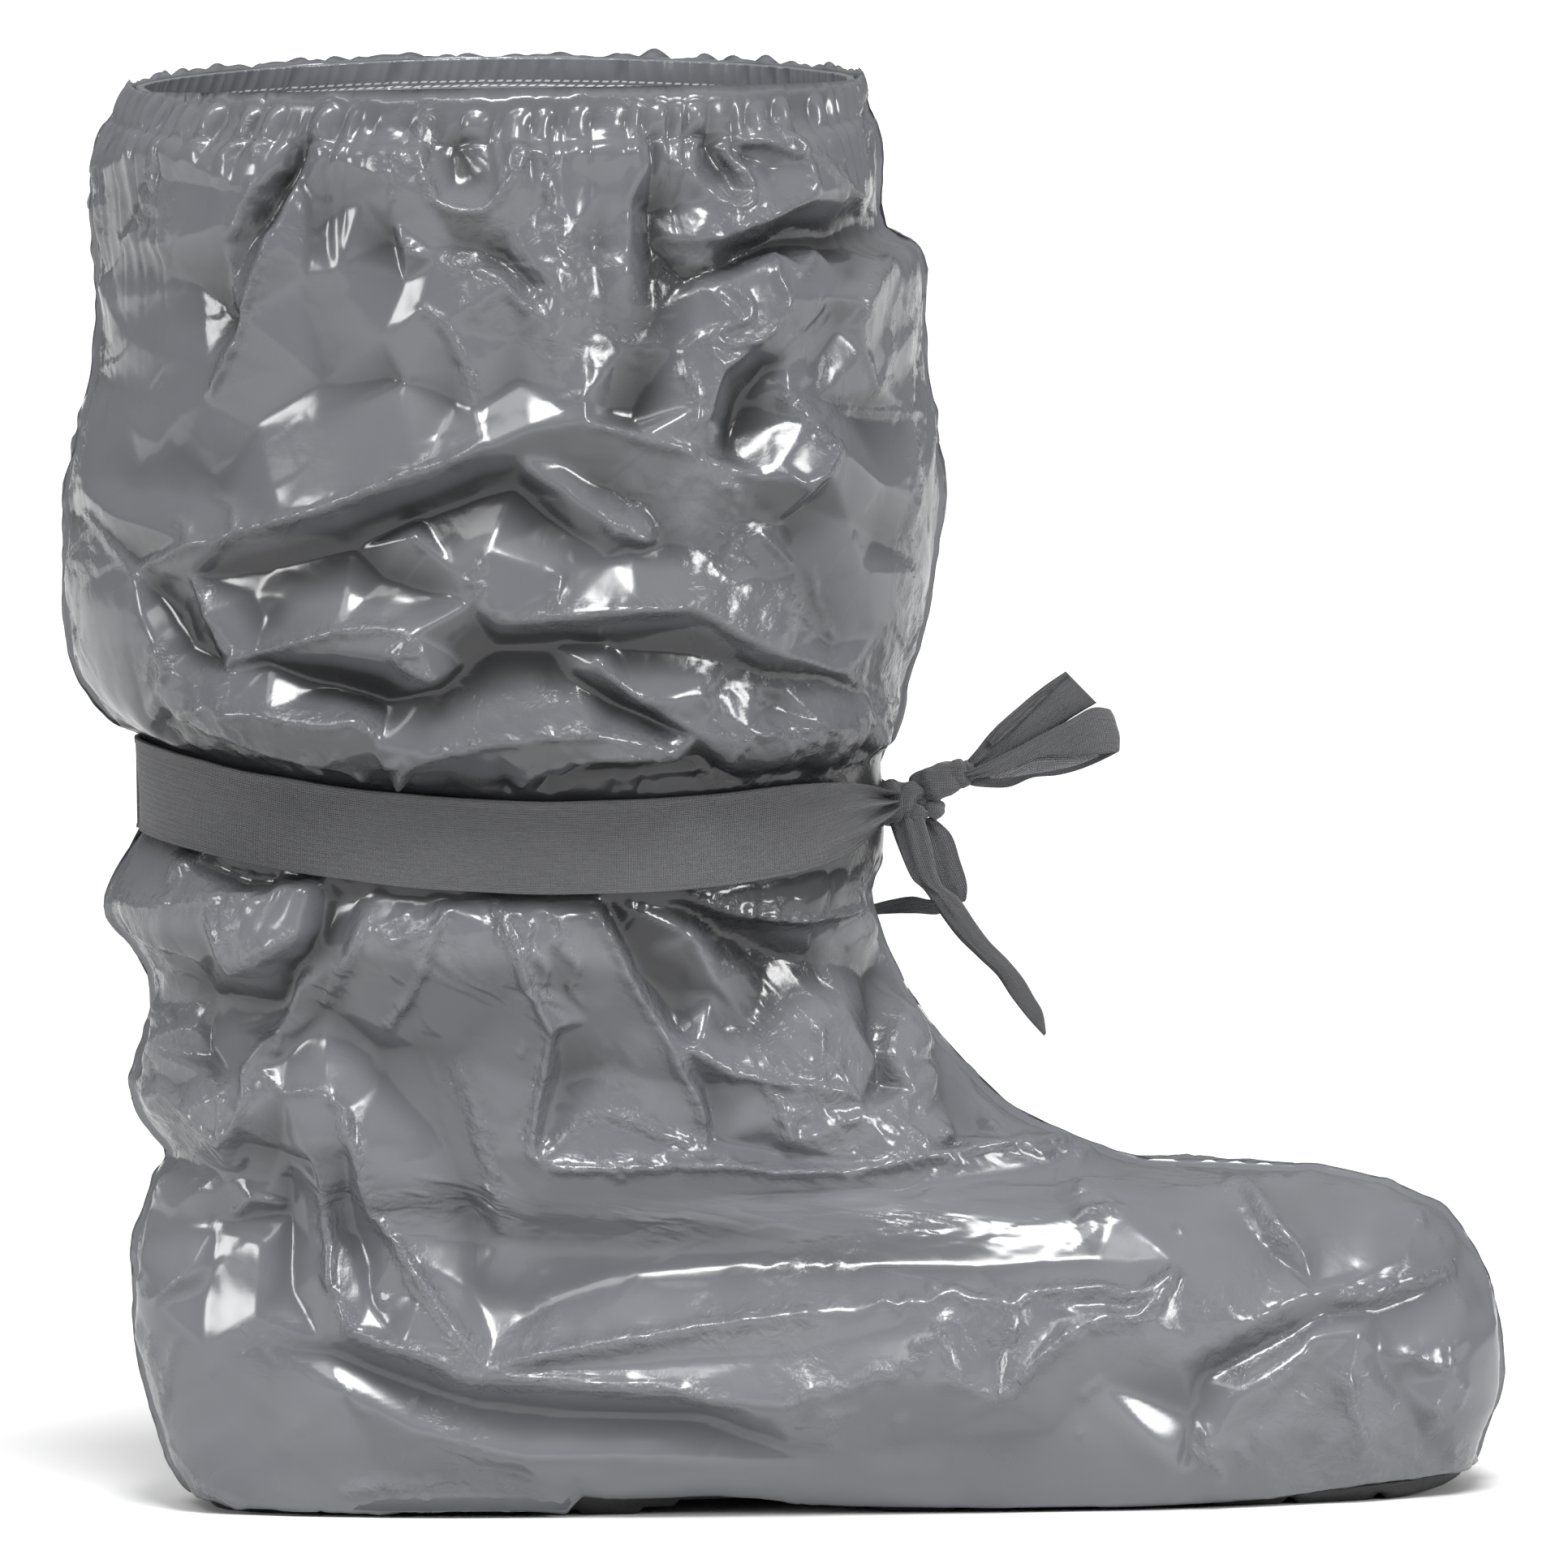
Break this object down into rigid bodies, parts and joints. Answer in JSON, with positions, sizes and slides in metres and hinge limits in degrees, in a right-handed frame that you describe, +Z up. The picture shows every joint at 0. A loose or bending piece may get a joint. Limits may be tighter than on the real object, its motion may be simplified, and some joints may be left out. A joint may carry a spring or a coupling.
{
  "type": "chemical protective overshoe",
  "caption": "Tall slack film overshoe with a gathered collar, a knotted ribbon tie at the ankle and a black slip-resistant sole.",
  "frame": {"origin": "on the floor under the centre of the heel, on the sole's flat underside", "axes": "+X from heel to toe, +Y to the left, +Z up"},
  "size_m": [0.3798, 0.2004, 0.3792],
  "materials": {
    "film": "glossy grey laminated film, creased",
    "sole": "matt black slip-resistant sheet",
    "ribbon": "ribbed woven ribbon, matt"
  },
  "bodies": {
    "root": {"upper": "film", "sole": "sole", "collar_casing": "film", "ankle_tie": "ribbon", "tie_knot": "ribbon", "tie_upper_end": "ribbon", "tie_upper_loop": "ribbon", "tie_lower_tail": "ribbon", "tie_lower_loop": "ribbon", "tie_far_end": "ribbon"}
  },
  "joints": []
}
